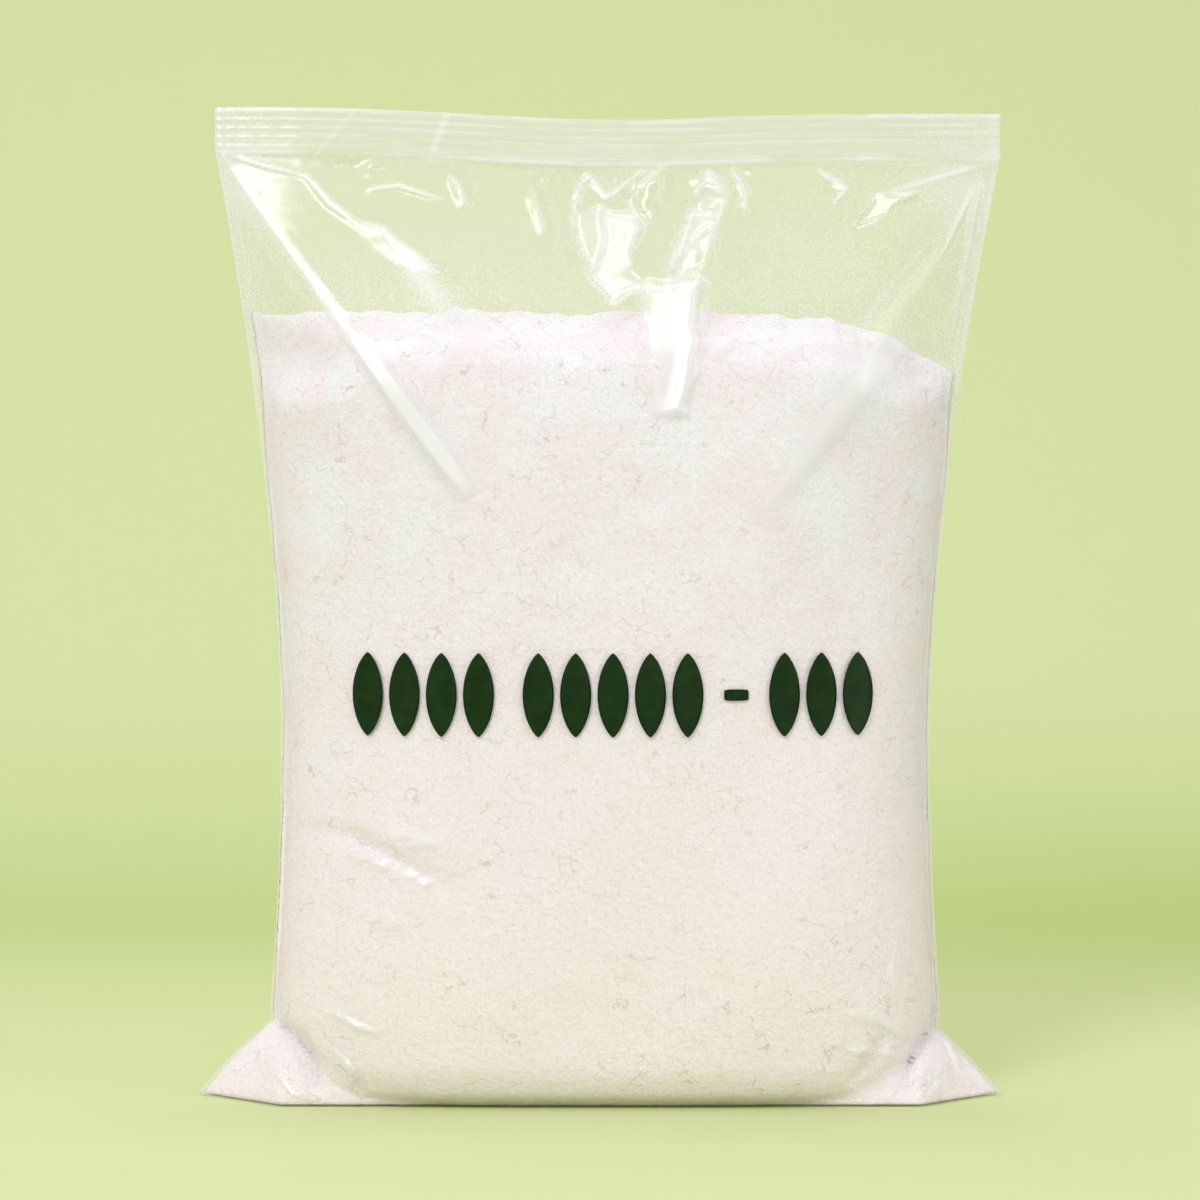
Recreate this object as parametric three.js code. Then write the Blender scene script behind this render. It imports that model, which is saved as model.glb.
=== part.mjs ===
// A clear film bag holding 1 kg of flour, standing upright on its own flattened base.
// The bag is one closed solid. X runs across the bag, -Y is the front, +Z is up, in millimetres,
// and the origin is on the floor under the middle of the bag.
//
// The bag was flat film once, welded across the top. Seen from the front, every point inside its
// outline has one depth to the front and one to the back, so the solid is described by an outline
// (leftEdge, rightEdge) and a half depth (halfDepth), with folds and dents laid over each panel.
import * as THREE from 'three';

// Heights above the floor.
const TOP_Z = 247;
const WELD_Z = 236;
const SHOULDER_Z = 186;
const WAIST_Z = 95;
const BELLY_Z = 45;
const HIP_Z = 22;

// Half widths of the body, and the reach of the two pinched corners.
const WELD_HALF_WIDTH = 97.9;
const WAIST_HALF_WIDTH = 81.2;
const HIP_HALF_WIDTH = 84;
const BASE_TUCK = 9;
const SHOULDER_FLARE = 1.6;
const EAR_REACH = 101;
const EAR_HALF_DEPTH = 21;
const EAR_RIDGE_SLOPE = 1.02;
const EAR_TOP_Z = 18;
const EAR_BULGE = 1;
const EAR_FULLNESS = 1.4;
const EAR_ROUNDNESS = 0.8;

// Half depths, from the base up to the weld.
const BASE_HALF_DEPTH = 22;
const BELLY_HALF_DEPTH = 31.5;
const WAIST_HALF_DEPTH = 30;
const SHOULDER_HALF_DEPTH = 23;
const HEAD_HALF_DEPTH = 8.2;
const FILM_HALF_DEPTH = 0.5;

// The body's level section is (1 - across ** boxiness) ** roundness: fuller with more boxiness.
const HIP_BOXINESS = 4.4;
const WAIST_BOXINESS = 3.6;
const HEAD_BOXINESS = 12.6;
const HIP_ROUNDNESS = 0.55;
const WAIST_ROUNDNESS = 0.62;
const HEAD_FROM_Z = SHOULDER_Z - 30;

// The body leans a little to the right of the corners, more so at the top.
const BODY_SHIFT = 1.3;
const WELD_SHIFT = 1.9;

// The weld is crimped with level ribs, and its top edge sags in the middle.
const WELD_RIBS = 5;
const WELD_RIB_HEIGHT = 0.35;
const WELD_SAG = 3.2;
const WELD_SAG_WIDTH = 46;
const WELD_RIGHT_DROP = 1.7;

// The head's two upper corners are flat. Each starts from the side's thin edge, rises at a slope
// that grows towards the weld, and meets the flat middle of the head along a slanting fold.
const CORNER_SLOPE = 0.85;
const CORNER_STEEPENING = 0.35;
const CORNER_FROM_Z = 150;
const CORNER_RELEASE = 30;
const CORNER_ROUNDING = 2;
const SHOULDER_ROUNDING = 5.5;
const EDGE_WIDTH = 1.5;

// Mesh density: columns across each panel, and rows in each band of height.
const COLUMNS = 52;
const ROW_BANDS = [
  { to: 20, rows: 10 },
  { to: 180, rows: 22 },
  { to: WELD_Z, rows: 13 },
  { to: TOP_Z, rows: 2 * WELD_RIBS },
];
const EDGE_CROWDING = 0.4;

// Folds and dents of each panel, each along a line of points in the front view.
// height is how far the film stands out, and below zero it is drawn in.
const EAR_CREASES = [
  { name: 'left ear crease', line: [[-82, 19], [-76, 16], [-72, 11], [-70, 3]], height: -3.2, width: 3 },
  { name: 'right ear crease', line: [[84.5, 19], [80, 13], [77, 7], [75.5, 1]], height: -3.2, width: 3 },
];
const FRONT_FOLDS = [
  ...EAR_CREASES,
  { name: 'long left fold, lower end', line: [[-60, 189], [-31, 150]], height: 1, width: 4 },
  { name: 'upper left fold', line: [[-73, 230], [-60, 218], [-37, 196]], height: 1.2, width: 3.5 },
  { name: 'middle channel', line: [[4, 228], [3, 204]], height: 1.2, width: 7 },
  { name: 'right channel', line: [[27, 230], [18, 190], [17, 172]], height: 1.2, width: 5 },
  { name: 'right shoulder fold', line: [[74, 190], [38, 144]], height: 1.1, width: 4.5 },
  { name: 'right corner fold', line: [[98, 235], [84, 231], [66, 225]], height: 0.9, width: 3.5 },
  { name: 'right edge fold', line: [[95, 229], [88, 190]], height: 1.1, width: 3 },
  { name: 'left waist dent', line: [[-72, 67], [-61, 67], [-50, 61], [-36, 54]], height: -1.8, width: 3 },
  { name: 'left waist fold', line: [[-62, 63], [-38, 54]], height: 1, width: 3 },
];
const BACK_FOLDS = [
  ...EAR_CREASES,
  { name: 'left corner fold', line: [[-92, 232], [-48, 168]], height: 1, width: 4 },
  { name: 'middle channel', line: [[-12, 235], [-8, 188]], height: 2.2, width: 6 },
  { name: 'right corner fold', line: [[95, 232], [40, 158]], height: 1, width: 4 },
  { name: 'right waist dent', line: [[80, 66], [44, 50]], height: -1.8, width: 4.5 },
];

// A fold starts already this far from nothing, as a share of its length.
const FOLD_BLUNT_START = 0.06;

// Folds and lumps keep clear of the side edges, the floor and the weld.
const RELIEF_EDGE_MARGIN = 5;
const RELIEF_FLOOR_MARGIN = 3;
const RELIEF_WELD_MARGIN = 4;

// The packed contents push the film out in shallow lumps.
const LUMP_HEIGHT = 0.55;
const LUMP_X = 15;
const LUMP_Z = 21;
const SLANTED_LUMP = { share: 0.6, x: 8.55, z: 16.8 };
const LUMP_SIDE_PHASE = 1.7;
const LUMP_LOW_Z = [3, 25];
const LUMP_HIGH_Z = [SHOULDER_Z - 6, SHOULDER_Z + 20];

const BAG_COLOUR = 0xf1ece6;
const BAG_ROUGHNESS = 0.42;

function smoothstep(low, high, value) {
  const t = THREE.MathUtils.clamp((value - low) / (high - low), 0, 1);
  return t * t * (3 - 2 * t);
}

// A smooth curve through a few [height, value] points, with no overshoot between them.
function curveThrough(points) {
  const slopeAt = (i) => {
    if (i === 0 || i === points.length - 1) return 0;
    const before = (points[i][1] - points[i - 1][1]) / (points[i][0] - points[i - 1][0]);
    const after = (points[i + 1][1] - points[i][1]) / (points[i + 1][0] - points[i][0]);
    return before * after <= 0 ? 0 : (2 * before * after) / (before + after);
  };
  return (z) => {
    const last = points.length - 2;
    let i = 0;
    while (i < last && z > points[i + 1][0]) i += 1;
    const [z0, v0] = points[i];
    const [z1, v1] = points[i + 1];
    const span = z1 - z0;
    const t = THREE.MathUtils.clamp((z - z0) / span, 0, 1);
    const t2 = t * t;
    const t3 = t2 * t;
    return (2 * t3 - 3 * t2 + 1) * v0 + (t3 - 2 * t2 + t) * span * slopeAt(i)
      + (3 * t2 - 2 * t3) * v1 + (t3 - t2) * span * slopeAt(i + 1);
  };
}

const bodyHalfDepth = curveThrough([
  [0, BASE_HALF_DEPTH],
  [3.5, BASE_HALF_DEPTH + 5],
  [11, BELLY_HALF_DEPTH - 1.5],
  [BELLY_Z, BELLY_HALF_DEPTH],
  [WAIST_Z, WAIST_HALF_DEPTH],
  [SHOULDER_Z - 30, SHOULDER_HALF_DEPTH + 4.6],
  [SHOULDER_Z, SHOULDER_HALF_DEPTH],
  [SHOULDER_Z + 14, SHOULDER_HALF_DEPTH - 7.2],
  [SHOULDER_Z + 30, HEAD_HALF_DEPTH],
  [WELD_Z, FILM_HALF_DEPTH],
  [WELD_Z + 20, FILM_HALF_DEPTH - HEAD_HALF_DEPTH],
]);

function bodyHalfWidth(z) {
  if (z >= WAIST_Z) {
    const rise = Math.min(1, (z - WAIST_Z) / (WELD_Z - WAIST_Z));
    return WAIST_HALF_WIDTH + (WELD_HALF_WIDTH - WAIST_HALF_WIDTH) * rise ** SHOULDER_FLARE;
  }
  const fall = (WAIST_Z - z) / (WAIST_Z - HIP_Z);
  const wide = WAIST_HALF_WIDTH + (HIP_HALF_WIDTH - WAIST_HALF_WIDTH) * Math.min(1, fall) ** 2;
  const under = Math.max(0, (HIP_Z - z) / HIP_Z);
  return wide - BASE_TUCK * (1 - Math.sqrt(1 - under * under));
}

function bodyMiddle(z) {
  return BODY_SHIFT + (WELD_SHIFT - BODY_SHIFT) * smoothstep(WAIST_Z, WELD_Z, z);
}

// An ear's ridge climbs from its tip towards the body, so a height shows only from here inwards.
function earEdge(z) {
  const climbed = THREE.MathUtils.clamp(z / EAR_TOP_Z, 0, 1);
  return EAR_REACH - z / EAR_RIDGE_SLOPE + EAR_BULGE * Math.sin(Math.PI * climbed);
}

function leftEdge(z) {
  return Math.min(bodyMiddle(z) - bodyHalfWidth(z), -earEdge(z));
}

function rightEdge(z) {
  return Math.max(bodyMiddle(z) + bodyHalfWidth(z), earEdge(z));
}

// The body's section: rounded where the contents press out, and flat across the head.
function bodyDepthAt(x, z) {
  const across = Math.abs(x - bodyMiddle(z)) / (bodyHalfWidth(z) - EDGE_WIDTH);
  if (across >= 1) return 0;
  const aboveHip = smoothstep(HIP_Z, WAIST_Z, z);
  const inHead = smoothstep(HEAD_FROM_Z, WELD_Z, z);
  const bodyBoxiness = THREE.MathUtils.lerp(HIP_BOXINESS, WAIST_BOXINESS, aboveHip);
  const boxiness = bodyBoxiness + (HEAD_BOXINESS - WAIST_BOXINESS) * inHead;
  const roundness = THREE.MathUtils.lerp(HIP_ROUNDNESS, WAIST_ROUNDNESS, aboveHip);
  return Math.max(bodyHalfDepth(z), FILM_HALF_DEPTH) * (1 - across ** boxiness) ** roundness;
}

// Half depth of the head's two flat corners. Below the head they let go of the body.
function cornerDepthAt(x, z) {
  const slope = CORNER_SLOPE * (1 + CORNER_STEEPENING * smoothstep(SHOULDER_Z, WELD_Z, z));
  const inset = Math.min(x - leftEdge(z), rightEdge(z) - x) - EDGE_WIDTH;
  const release = CORNER_RELEASE * (1 - smoothstep(CORNER_FROM_Z, SHOULDER_Z, z));
  return Math.max(slope * inset, 0) + release;
}

function smoothMin(a, b, radius) {
  const held = THREE.MathUtils.clamp(0.5 + (0.5 * (b - a)) / radius, 0, 1);
  return b * (1 - held) + a * held - radius * held * (1 - held);
}

// An ear's section: a plump triangle on the floor, from nothing at the tip to its full depth.
function earDepthAt(x, z) {
  const fromTip = EAR_REACH - Math.abs(x);
  const fromEdge = earEdge(z) - Math.abs(x);
  if (fromTip <= 0 || fromEdge <= 0) return 0;
  const up = Math.max(0, 1 - fromEdge / fromTip);
  const width = EAR_HALF_DEPTH * Math.min(1, fromTip / EAR_HALF_DEPTH);
  return width * (1 - up ** EAR_FULLNESS) ** EAR_ROUNDNESS;
}

// How far (x, z) lies from a line of points, and how far along it the nearest point is (0 to 1).
function nearestOnLine(line, x, z) {
  const lengths = line.slice(1).map(([x1, z1], i) => Math.hypot(x1 - line[i][0], z1 - line[i][1]));
  const whole = lengths.reduce((sum, length) => sum + length, 0);
  let best = { away: Infinity, held: 0 };
  let run = 0;
  lengths.forEach((length, i) => {
    const [x0, z0] = line[i];
    const dx = line[i + 1][0] - x0;
    const dz = line[i + 1][1] - z0;
    const part = THREE.MathUtils.clamp(((x - x0) * dx + (z - z0) * dz) / length ** 2, 0, 1);
    const away = Math.hypot(x - x0 - part * dx, z - z0 - part * dz);
    if (away < best.away) best = { away, held: (run + part * length) / whole };
    run += length;
  });
  return best;
}

// The height that a fold gives to (x, z), fading to nothing beside it and at its ends.
function foldHeight(fold, x, z) {
  const { away, held } = nearestOnLine(fold.line, x, z);
  const fade = Math.sqrt(Math.sin(Math.PI * THREE.MathUtils.lerp(FOLD_BLUNT_START, 1, held)));
  return fold.height * fade * Math.exp(-((away / fold.width) ** 2));
}

function lumpHeight(x, z, side) {
  const level = Math.sin(x / LUMP_X + LUMP_SIDE_PHASE * side) * Math.sin(z / LUMP_Z);
  const slanted = Math.sin(x / SLANTED_LUMP.x - z / SLANTED_LUMP.z + side);
  const packed = smoothstep(...LUMP_LOW_Z, z) * (1 - smoothstep(...LUMP_HIGH_Z, z));
  return LUMP_HEIGHT * packed * (level + SLANTED_LUMP.share * slanted);
}

function weldRib(z) {
  if (z <= WELD_Z) return 0;
  const phase = ((z - WELD_Z) / (TOP_Z - WELD_Z)) * WELD_RIBS;
  return WELD_RIB_HEIGHT * Math.sin(Math.PI * phase) ** 2;
}

// How softly the head's corners run into its middle.
function cornerRounding(z) {
  return THREE.MathUtils.lerp(SHOULDER_ROUNDING, CORNER_ROUNDING, smoothstep(SHOULDER_Z, WELD_Z, z));
}

// How much relief may lie at a point: none at the edges, the floor and the weld.
function reliefRoom(x, z) {
  const inset = Math.min(x - leftEdge(z), rightEdge(z) - x);
  const belowWeld = 1 - smoothstep(WELD_Z - RELIEF_WELD_MARGIN, WELD_Z, z);
  return smoothstep(0, RELIEF_EDGE_MARGIN, inset) * smoothstep(0, RELIEF_FLOOR_MARGIN, z) * belowWeld;
}

// Half depth of one panel at a point of the front view. side is -1 for the front, 1 for the back.
function halfDepth(x, z, side) {
  const body = smoothMin(bodyDepthAt(x, z), cornerDepthAt(x, z), cornerRounding(z));
  const plain = Math.max(body, earDepthAt(x, z));
  const room = reliefRoom(x, z);
  const folds = side < 0 ? FRONT_FOLDS : BACK_FOLDS;
  const relief = folds.reduce((sum, fold) => sum + foldHeight(fold, x, z), lumpHeight(x, z, side));
  return Math.max(plain + room * relief, FILM_HALF_DEPTH) + weldRib(z);
}

// The top of the bag hangs: a sag in the middle, and the right end a little low.
function hang(x, z) {
  const pull = smoothstep(SHOULDER_Z + 10, WELD_Z, z);
  const sag = WELD_SAG * Math.exp(-(((x - WELD_SHIFT) / WELD_SAG_WIDTH) ** 2));
  return pull * (sag + WELD_RIGHT_DROP * smoothstep(0, WELD_HALF_WIDTH, x));
}

function rowHeights() {
  const heights = [0];
  for (const band of ROW_BANDS) {
    const start = heights[heights.length - 1];
    for (let i = 1; i <= band.rows; i += 1) heights.push(start + ((band.to - start) * i) / band.rows);
  }
  return heights;
}

// Columns crowd towards both edges, where the film turns from front to back.
function acrossAt(column) {
  const u = (2 * column) / COLUMNS - 1;
  return (1 - EDGE_CROWDING) * u + EDGE_CROWDING * Math.sin((Math.PI / 2) * u);
}

// One closed loop of points at a height: the front panel left to right, then the back panel
// right to left. The two panels share their points at both edges.
function ringAt(z) {
  const left = leftEdge(z);
  const right = rightEdge(z);
  const ring = [];
  for (let i = 0; i < 2 * COLUMNS; i += 1) {
    const side = i < COLUMNS ? -1 : 1;
    const column = i < COLUMNS ? i : 2 * COLUMNS - i;
    const x = (left + right) / 2 + ((right - left) / 2) * acrossAt(column);
    const atEdge = column === 0 || column === COLUMNS;
    const y = atEdge ? 0 : side * halfDepth(x, z, side);
    ring.push(new THREE.Vector3(x, y, z - hang(x, z)));
  }
  return ring;
}

// Closes a ring with strips that run from the front panel to the back panel.
function capTriangles(first, facingUp) {
  const triangles = [];
  const add = (a, b, c) => triangles.push(...(facingUp ? [a, b, c] : [a, c, b]));
  for (let i = 0; i < COLUMNS; i += 1) {
    const front = first + i;
    const nextFront = first + i + 1;
    const back = first + ((2 * COLUMNS - i) % (2 * COLUMNS));
    const nextBack = first + 2 * COLUMNS - i - 1;
    if (i < COLUMNS - 1) add(front, nextFront, nextBack);
    if (i > 0) add(front, nextBack, back);
  }
  return triangles;
}

function bagGeometry() {
  const rings = rowHeights().map(ringAt);
  const around = 2 * COLUMNS;
  const positions = rings.flat().flatMap((point) => point.toArray());
  const index = [];
  for (let row = 0; row < rings.length - 1; row += 1) {
    for (let i = 0; i < around; i += 1) {
      const here = row * around + i;
      const next = row * around + ((i + 1) % around);
      index.push(here, next, next + around, here, next + around, here + around);
    }
  }
  index.push(...capTriangles(0, false), ...capTriangles((rings.length - 1) * around, true));
  const geometry = new THREE.BufferGeometry();
  geometry.setAttribute('position', new THREE.Float32BufferAttribute(positions, 3));
  geometry.setIndex(index);
  geometry.computeVertexNormals();
  return geometry;
}

const bag = new THREE.Mesh(
  bagGeometry(),
  new THREE.MeshStandardMaterial({ color: BAG_COLOUR, roughness: BAG_ROUGHNESS, metalness: 0 }),
);
bag.name = 'bag';

const bagOfFlour = new THREE.Group();
bagOfFlour.add(bag);

export default bagOfFlour;
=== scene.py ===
import math

import bpy
import numpy as np
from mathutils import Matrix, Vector


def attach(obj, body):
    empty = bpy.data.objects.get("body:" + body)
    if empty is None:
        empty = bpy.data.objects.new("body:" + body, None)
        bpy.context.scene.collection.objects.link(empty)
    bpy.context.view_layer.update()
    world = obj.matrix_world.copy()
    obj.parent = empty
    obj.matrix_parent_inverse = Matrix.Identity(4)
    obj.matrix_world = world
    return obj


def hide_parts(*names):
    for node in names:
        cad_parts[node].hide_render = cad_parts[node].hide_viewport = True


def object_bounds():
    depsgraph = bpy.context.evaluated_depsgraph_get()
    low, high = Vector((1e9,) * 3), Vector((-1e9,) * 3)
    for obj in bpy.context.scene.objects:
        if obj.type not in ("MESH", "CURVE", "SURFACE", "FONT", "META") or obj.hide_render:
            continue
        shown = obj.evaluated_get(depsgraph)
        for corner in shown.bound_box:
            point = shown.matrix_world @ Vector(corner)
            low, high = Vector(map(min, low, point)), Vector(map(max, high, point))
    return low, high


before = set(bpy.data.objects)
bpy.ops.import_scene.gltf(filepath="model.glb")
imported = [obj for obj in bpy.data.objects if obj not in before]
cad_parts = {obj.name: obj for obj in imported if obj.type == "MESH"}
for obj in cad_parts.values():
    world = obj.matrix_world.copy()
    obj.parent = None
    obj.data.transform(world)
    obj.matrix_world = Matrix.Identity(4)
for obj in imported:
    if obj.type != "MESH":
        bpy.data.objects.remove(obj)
CAD_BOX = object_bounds()

MM = 0.001

# Heights above the floor.
TOP_Z = CAD_BOX[1].z / MM
WELD_Z = 236.0
SHOULDER_Z = 186.0
WAIST_Z = 95.0
BELLY_Z = 45.0
HIP_Z = 22.0

# Half widths of the body, and the reach of the two pinched corners.
WELD_HALF_WIDTH = 97.9
WAIST_HALF_WIDTH = 81.2
HIP_HALF_WIDTH = 84.0
BASE_TUCK = 9.0
SHOULDER_FLARE = 1.6
EAR_REACH = CAD_BOX[1].x / MM
EAR_HALF_DEPTH = 21.0
EAR_RIDGE_SLOPE = 1.02
EAR_TOP_Z = 18.0
EAR_BULGE = 1.0

# Half depths, from the base up to the weld.
BASE_HALF_DEPTH = 22.0
BELLY_HALF_DEPTH = 31.5
WAIST_HALF_DEPTH = 30.0
SHOULDER_HALF_DEPTH = 23.0
HEAD_HALF_DEPTH = 8.2
FILM_HALF_DEPTH = 0.4

# The body's section at the hips and the waist: how boxy it is across, and how round its two ends.
HIP_BOXINESS = 4.4
WAIST_BOXINESS = 3.6
HEAD_BOXINESS = 12.6
HIP_ROUNDNESS = 0.55
WAIST_ROUNDNESS = 0.62
LENS_FROM_Z = SHOULDER_Z - 30

BODY_SHIFT = 1.3
WELD_SHIFT = 1.9

# The weld's ribs, and how its top edge hangs.
WELD_RIBS = 5
WELD_RIB_HEIGHT = 0.18
WELD_SAG = 3.2
WELD_SAG_WIDTH = 46.0
WELD_RIGHT_DROP = 1.7

# The flat corners of the head.
CORNER_SLOPE = 0.85
CORNER_STEEPENING = 0.35
CORNER_RELEASE = 30.0
CORNER_FROM_Z = 150.0
CORNER_ROUNDING = 2.0
SHOULDER_ROUNDING = 5.5

# The side folds stand out as thin fins of empty film.
FIN_WIDTH = 1.5
FIN_SLOPE = 0.3

# Low lumps all over the filled body.
LUMP_HEIGHT = 0.55
LUMP_LENGTH = 15.0
LUMP_TALLNESS = 21.0

# The flour's level, as (place across, height), from the left side to the right side.
FLOUR_LEVEL = [
    (-90, 195.4),
    (-60, 196.4),
    (-20, 196.0),
    (20, 195.6),
    (50, 194.8),
    (72, 190.5),
    (90, 180.0),
]
FLOUR_SHOULDER = 15.0
FLOUR_INSET = 0.45

FRONT, BACK = -1, 1

# The places, in metres, of the camera and of the key light that the film's flat patches catch.
CAMERA_PLACE = (0.0, -1.1, 0.160)
KEY_PLACE = (-0.55, -1.30, 1.02)


def smoothstep(low, high, value):
    """0 below low, 1 above high, and a smooth rise between them."""
    t = np.clip((value - low) / (high - low), 0, 1)
    return t * t * (3 - 2 * t)


def curve_through(points):
    """A smooth curve through a few (height, value) points, with no overshoot between them."""
    at, value = (np.array(column, float) for column in zip(*points))
    rise = np.diff(value) / np.diff(at)
    before, after = rise[:-1], rise[1:]
    same_way = before * after > 0
    inner = np.where(same_way, 2 * before * after / np.where(same_way, before + after, 1), 0)
    slope = np.concatenate([[0], inner, [0]])

    def curve(z):
        z = np.asarray(z, float)
        i = np.clip(np.searchsorted(at, z, side="right") - 1, 0, len(at) - 2)
        span = at[i + 1] - at[i]
        t = np.clip((z - at[i]) / span, 0, 1)
        t2, t3 = t * t, t * t * t
        return (
            (2 * t3 - 3 * t2 + 1) * value[i]
            + (t3 - 2 * t2 + t) * span * slope[i]
            + (3 * t2 - 2 * t3) * value[i + 1]
            + (t3 - t2) * span * slope[i + 1]
        )

    return curve


# Added to every cell's number, so that none is below zero.
CELL_SHIFT = 1000


def random_at(seed, *cells):
    """A random value from -1 to 1 for each whole-numbered cell."""
    mixed = np.full(np.shape(cells[0]), seed * 2654435761 % 4294967296, np.int64)
    for cell, factor in zip(cells, (73856093, 19349663, 83492791)):
        mixed = mixed ^ (np.asarray(cell).astype(np.int64) * factor)
    mixed = mixed & 0xFFFFFFFF
    mixed = (mixed ^ (mixed >> 15)) * 2246822519 & 0xFFFFFFFF
    mixed = (mixed ^ (mixed >> 13)) * 3266489917 & 0xFFFFFFFF
    return (mixed ^ (mixed >> 16)) / 2147483647.5 - 1


def noise(x, y, z, size, seed):
    """Smooth random values from -1 to 1, with features about size across."""
    scaled = [np.asarray(value, float) / size + CELL_SHIFT for value in np.broadcast_arrays(x, y, z)]
    cells = [np.floor(value) for value in scaled]
    parts = [smoothstep(0, 1, value - cell) for value, cell in zip(scaled, cells)]
    total = 0.0
    for corner in range(8):
        steps = [corner >> axis & 1 for axis in range(3)]
        weight = 1.0
        for part, step in zip(parts, steps):
            weight = weight * (part if step else 1 - part)
        total = total + weight * random_at(seed, *(cell + step for cell, step in zip(cells, steps)))
    return total


body_half_depth = curve_through([
    (0, BASE_HALF_DEPTH),
    (3.5, BASE_HALF_DEPTH + 5),
    (11, BELLY_HALF_DEPTH - 1.5),
    (BELLY_Z, BELLY_HALF_DEPTH),
    (WAIST_Z, WAIST_HALF_DEPTH),
    (LENS_FROM_Z, SHOULDER_HALF_DEPTH + 4.6),
    (SHOULDER_Z, SHOULDER_HALF_DEPTH),
    (SHOULDER_Z + 14, SHOULDER_HALF_DEPTH - 7.2),
    (SHOULDER_Z + 30, HEAD_HALF_DEPTH),
    (WELD_Z, FILM_HALF_DEPTH),
    (WELD_Z + 20, FILM_HALF_DEPTH - 7.7),
])
flour_level = curve_through(FLOUR_LEVEL)


def body_half_width(z):
    rise = np.clip((z - WAIST_Z) / (WELD_Z - WAIST_Z), 0, 1)
    above = WAIST_HALF_WIDTH + (WELD_HALF_WIDTH - WAIST_HALF_WIDTH) * rise**SHOULDER_FLARE
    fall = np.clip((WAIST_Z - z) / (WAIST_Z - HIP_Z), 0, 1)
    under = np.clip((HIP_Z - z) / HIP_Z, 0, 1)
    tuck = BASE_TUCK * (1 - np.sqrt(1 - under * under))
    below = WAIST_HALF_WIDTH + (HIP_HALF_WIDTH - WAIST_HALF_WIDTH) * fall**2 - tuck
    return np.where(z >= WAIST_Z, above, below)


def body_middle(z):
    return BODY_SHIFT + (WELD_SHIFT - BODY_SHIFT) * smoothstep(WAIST_Z, WELD_Z, z)


def ear_edge(z):
    """How far out the ears reach: a slightly bulging slope from the tip up to the body."""
    bulge = EAR_BULGE * np.sin(math.pi * np.clip(z / EAR_TOP_Z, 0, 1))
    return EAR_REACH - z / EAR_RIDGE_SLOPE + bulge


def left_edge(z):
    return np.minimum(body_middle(z) - body_half_width(z), -ear_edge(z))


def right_edge(z):
    return np.maximum(body_middle(z) + body_half_width(z), ear_edge(z))


def inset_at(x, z):
    """How far inside the nearer side edge a point of the front view lies."""
    return np.minimum(x - left_edge(z), right_edge(z) - x)


def body_depth_at(x, z, inset=0.0):
    """Half depth of the body's own section: boxy low down, a lens near the weld."""
    across = np.clip(np.abs(x - body_middle(z)) / (body_half_width(z) - inset), 0, 1)
    up_to_waist = smoothstep(HIP_Z, WAIST_Z, z)
    up_to_weld = smoothstep(LENS_FROM_Z, WELD_Z, z)
    boxiness = HIP_BOXINESS + (WAIST_BOXINESS - HIP_BOXINESS) * up_to_waist
    boxiness = boxiness + (HEAD_BOXINESS - WAIST_BOXINESS) * up_to_weld
    roundness = HIP_ROUNDNESS + (WAIST_ROUNDNESS - HIP_ROUNDNESS) * up_to_waist
    return np.maximum(body_half_depth(z), FILM_HALF_DEPTH) * (1 - across**boxiness) ** roundness


def ear_depth_at(x, z):
    """Half depth of an ear, a plump triangle on the floor, from nothing at the tip."""
    from_edge = np.maximum(ear_edge(z) - np.abs(x), 0)
    from_tip = np.maximum(EAR_REACH - np.abs(x), 1e-6)
    up = np.clip(1 - from_edge / from_tip, 0, 1)
    width = EAR_HALF_DEPTH * np.minimum(1, from_tip / EAR_HALF_DEPTH)
    return width * (1 - up**1.4) ** 0.8


def lump_height(x, z, side):
    full = smoothstep(3, 25, z) * (1 - smoothstep(SHOULDER_Z - 6, SHOULDER_Z + 20, z))
    upright = np.sin(x / LUMP_LENGTH + 1.7 * side) * np.sin(z / LUMP_TALLNESS)
    slanted = np.sin(x / 8.55 - z / 16.8 + side)
    return LUMP_HEIGHT * full * (upright + 0.6 * slanted)


def hang(x, z):
    """How far the top of the bag hangs down: a sag in the middle, and a low right end."""
    pull = smoothstep(SHOULDER_Z + 10, WELD_Z, z)
    sag = WELD_SAG * np.exp(-(((x - WELD_SHIFT) / WELD_SAG_WIDTH) ** 2))
    return pull * (sag + WELD_RIGHT_DROP * smoothstep(0, WELD_HALF_WIDTH, x))


class Fold:
    """A line in the front view along which the film stands out, or is drawn in.

    shine whitens its crest, as milky film and as painted highlight along it, and a packed fold is a
    dent in the flour as well.
    """

    def __init__(self, points, height, width, end_width=None, shine=0.0, packed=False):
        self.points = np.array(points, float)
        self.height = height
        self.width = width
        self.end_width = width if end_width is None else end_width
        self.shine = shine
        self.packed = packed

    def nearest(self, x, z):
        """The nearest point on the line, its distance, and its place along the line from 0 to 1."""
        steps = np.diff(self.points, axis=0)
        lengths = np.hypot(steps[:, 0], steps[:, 1])
        on_x, on_z, away, held = (np.full(np.shape(x), np.inf) for _ in range(4))
        run = 0.0
        for (x0, z0), (dx, dz), length in zip(self.points, steps, lengths):
            along = np.clip(((x - x0) * dx + (z - z0) * dz) / length**2, 0, 1)
            here_x = x0 + along * dx
            here_z = z0 + along * dz
            here = np.hypot(x - here_x, z - here_z)
            closer = here < away
            on_x = np.where(closer, here_x, on_x)
            on_z = np.where(closer, here_z, on_z)
            held = np.where(closer, (run + along * length) / lengths.sum(), held)
            away = np.where(closer, here, away)
            run += length
        return on_x, on_z, away, held

    def spread(self, x, z, narrow=1.0):
        """1 on the line, falling to 0 beside it and towards its two ends."""
        _, _, away, held = self.nearest(x, z)
        width = narrow * (self.width + (self.end_width - self.width) * held)
        fade = np.sqrt(np.sin(math.pi * np.clip(0.06 + 0.94 * held, 0, 1)))
        return fade * np.exp(-((away / width) ** 2))

    def at(self, x, z):
        return self.height * self.spread(x, z)


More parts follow.
